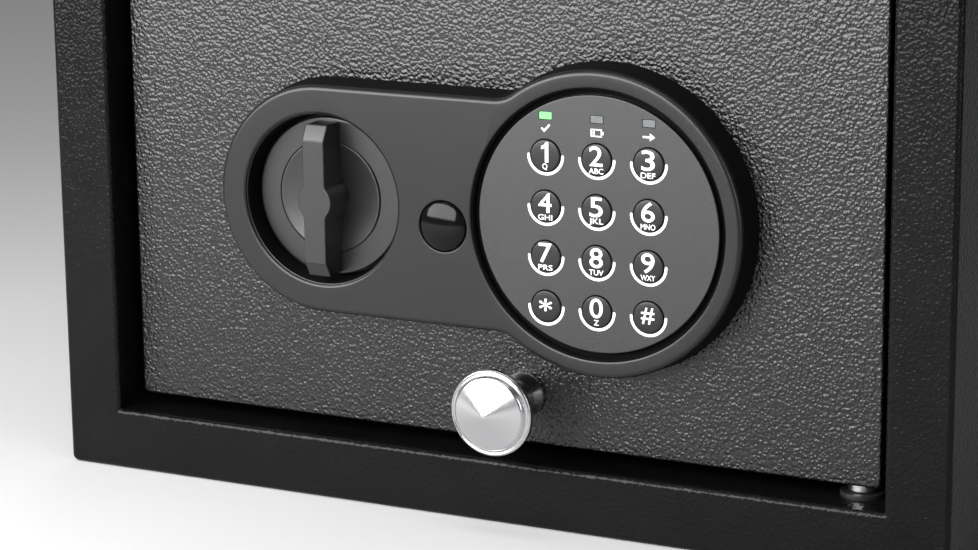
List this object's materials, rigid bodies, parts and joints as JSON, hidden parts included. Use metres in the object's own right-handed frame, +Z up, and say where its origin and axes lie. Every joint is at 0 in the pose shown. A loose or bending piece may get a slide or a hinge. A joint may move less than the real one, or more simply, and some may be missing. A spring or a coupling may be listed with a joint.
{
  "type": "electronic safe",
  "caption": "Small steel safe with a recessed pivoting door, keypad lock, turning handle that throws two bolts, key override, pull knob and battery compartment.",
  "frame": {"origin": "centre of the cabinet underside", "axes": "+X to the right seen from the front, -Y out of the front, +Z up"},
  "size_m": [0.31, 0.2208, 0.2],
  "materials": {
    "black_paint": "wrinkle powder coat",
    "black_plastic": "satin moulded",
    "keypad_plastic": "fine grained",
    "key_plastic": "satin moulded",
    "gloss_plastic": "high gloss",
    "grey_plastic": "moulded",
    "chrome": "satin to bright plated",
    "steel": "zinc plated sheet",
    "zinc": "bright zinc plated",
    "brass": "machined",
    "nylon": "natural",
    "felt": "pressed felt",
    "silicone": "matte",
    "board": "solder mask",
    "copper_coil": "enamelled winding",
    "green_lamp": "lit lens",
    "grey_lamp": "unlit lens",
    "cell_sleeve": "shrink sleeve",
    "red_plastic": "moulded"
  },
  "bodies": {
    "cabinet": {"body_shell": "black_paint", "rear_panel": "black_paint", "floor_mat": "felt", "hinge_bush_upper": "nylon", "hinge_bush_lower": "nylon"},
    "door": {"door_plate": "black_paint", "hinge_pin_upper": "steel", "hinge_pin_lower": "steel", "inner_cover": "black_paint", "lock_panel": "black_plastic", "keypad_faceplate": "keypad_plastic", "lamp_ready": "green_lamp", "lamp_battery": "grey_lamp", "lamp_proceed": "grey_lamp", "keypad_membrane": "silicone", "circuit_board": "board", "handle_bushing": "nylon", "bolt_guide": "steel", "solenoid_frame": "steel", "solenoid_coil": "copper_coil", "override_barrel": "zinc", "override_nut": "zinc", "pull_knob": "chrome", "pull_knob_screw": "zinc", "battery_holder": "black_plastic", "battery_1": "cell_sleeve", "battery_2": "cell_sleeve", "battery_3": "cell_sleeve", "battery_4": "cell_sleeve", "reset_switch": "grey_plastic"},
    "handle": {"handle_knob": "black_plastic", "handle_shaft": "steel", "handle_crank": "steel", "crank_screw": "zinc"},
    "bolt_work": {"bolt_carriage": "steel", "live_bolt_upper": "chrome", "live_bolt_lower": "chrome", "bolt_nut_upper": "zinc", "bolt_nut_lower": "zinc"},
    "plunger": {"solenoid_plunger": "chrome", "plunger_spring": "steel"},
    "keyway_plug": {"keyhole_cover": "gloss_plastic"},
    "override_lock": {"override_cylinder": "brass", "override_cam": "steel", "cam_screw": "zinc"},
    "battery_lid": {"battery_cover": "black_plastic"},
    "reset": {"reset_button": "red_plastic"},
    "button_1": {"key_1": "key_plastic"},
    "button_2": {"key_2": "key_plastic"},
    "button_3": {"key_3": "key_plastic"},
    "button_4": {"key_4": "key_plastic"},
    "button_5": {"key_5": "key_plastic"},
    "button_6": {"key_6": "key_plastic"},
    "button_7": {"key_7": "key_plastic"},
    "button_8": {"key_8": "key_plastic"},
    "button_9": {"key_9": "key_plastic"},
    "button_star": {"key_star": "key_plastic"},
    "button_0": {"key_0": "key_plastic"},
    "button_hash": {"key_hash": "key_plastic"}
  },
  "joints": [
    {"name": "door_hinge", "type": "hinge", "parent": "cabinet", "child": "door", "pos_m": [0.1225, -0.0837, 0.1], "axis": [0, 0, 1], "range_deg": [0, 100]},
    {"name": "handle_turn", "type": "hinge", "parent": "door", "child": "handle", "pos_m": [-0.0535, -0.096, 0.1], "axis": [0, -1, 0], "range_deg": [0, 60]},
    {"name": "bolt_slide", "type": "slide", "parent": "door", "child": "bolt_work", "axis": [-1, 0, 0], "range_m": [0, 0.016]},
    {"name": "plunger_slide", "type": "slide", "parent": "door", "child": "plunger", "axis": [0, 0, 1], "range_m": [-0.005, 0], "deforming": ["plunger_spring"]},
    {"name": "keyhole_cover_pull", "type": "slide", "parent": "door", "child": "keyway_plug", "axis": [0, -1, 0], "range_m": [0, 0.03]},
    {"name": "override_turn", "type": "hinge", "parent": "door", "child": "override_lock", "pos_m": [-0.01, -0.0987, 0.0953], "axis": [0, 1, 0], "range_deg": [0, 90]},
    {"name": "battery_cover_slide", "type": "slide", "parent": "door", "child": "battery_lid", "axis": [-1, 0, 0], "range_m": [0, 0.064]},
    {"name": "reset_press", "type": "slide", "parent": "door", "child": "reset", "axis": [0, -1, 0], "range_m": [0, 0.0015], "stiffness_N_per_m": 600},
    {"name": "key_1_press", "type": "slide", "parent": "door", "child": "button_1", "axis": [0, 1, 0], "range_m": [0, 0.0008], "stiffness_N_per_m": 800},
    {"name": "key_2_press", "type": "slide", "parent": "door", "child": "button_2", "axis": [0, 1, 0], "range_m": [0, 0.0008], "stiffness_N_per_m": 800},
    {"name": "key_3_press", "type": "slide", "parent": "door", "child": "button_3", "axis": [0, 1, 0], "range_m": [0, 0.0008], "stiffness_N_per_m": 800},
    {"name": "key_4_press", "type": "slide", "parent": "door", "child": "button_4", "axis": [0, 1, 0], "range_m": [0, 0.0008], "stiffness_N_per_m": 800},
    {"name": "key_5_press", "type": "slide", "parent": "door", "child": "button_5", "axis": [0, 1, 0], "range_m": [0, 0.0008], "stiffness_N_per_m": 800},
    {"name": "key_6_press", "type": "slide", "parent": "door", "child": "button_6", "axis": [0, 1, 0], "range_m": [0, 0.0008], "stiffness_N_per_m": 800},
    {"name": "key_7_press", "type": "slide", "parent": "door", "child": "button_7", "axis": [0, 1, 0], "range_m": [0, 0.0008], "stiffness_N_per_m": 800},
    {"name": "key_8_press", "type": "slide", "parent": "door", "child": "button_8", "axis": [0, 1, 0], "range_m": [0, 0.0008], "stiffness_N_per_m": 800},
    {"name": "key_9_press", "type": "slide", "parent": "door", "child": "button_9", "axis": [0, 1, 0], "range_m": [0, 0.0008], "stiffness_N_per_m": 800},
    {"name": "key_star_press", "type": "slide", "parent": "door", "child": "button_star", "axis": [0, 1, 0], "range_m": [0, 0.0008], "stiffness_N_per_m": 800},
    {"name": "key_0_press", "type": "slide", "parent": "door", "child": "button_0", "axis": [0, 1, 0], "range_m": [0, 0.0008], "stiffness_N_per_m": 800},
    {"name": "key_hash_press", "type": "slide", "parent": "door", "child": "button_hash", "axis": [0, 1, 0], "range_m": [0, 0.0008], "stiffness_N_per_m": 800}
  ],
  "couplings": [
    {"joint": "handle_turn", "follows": "bolt_slide", "rad_per_m": 65.449}
  ]
}
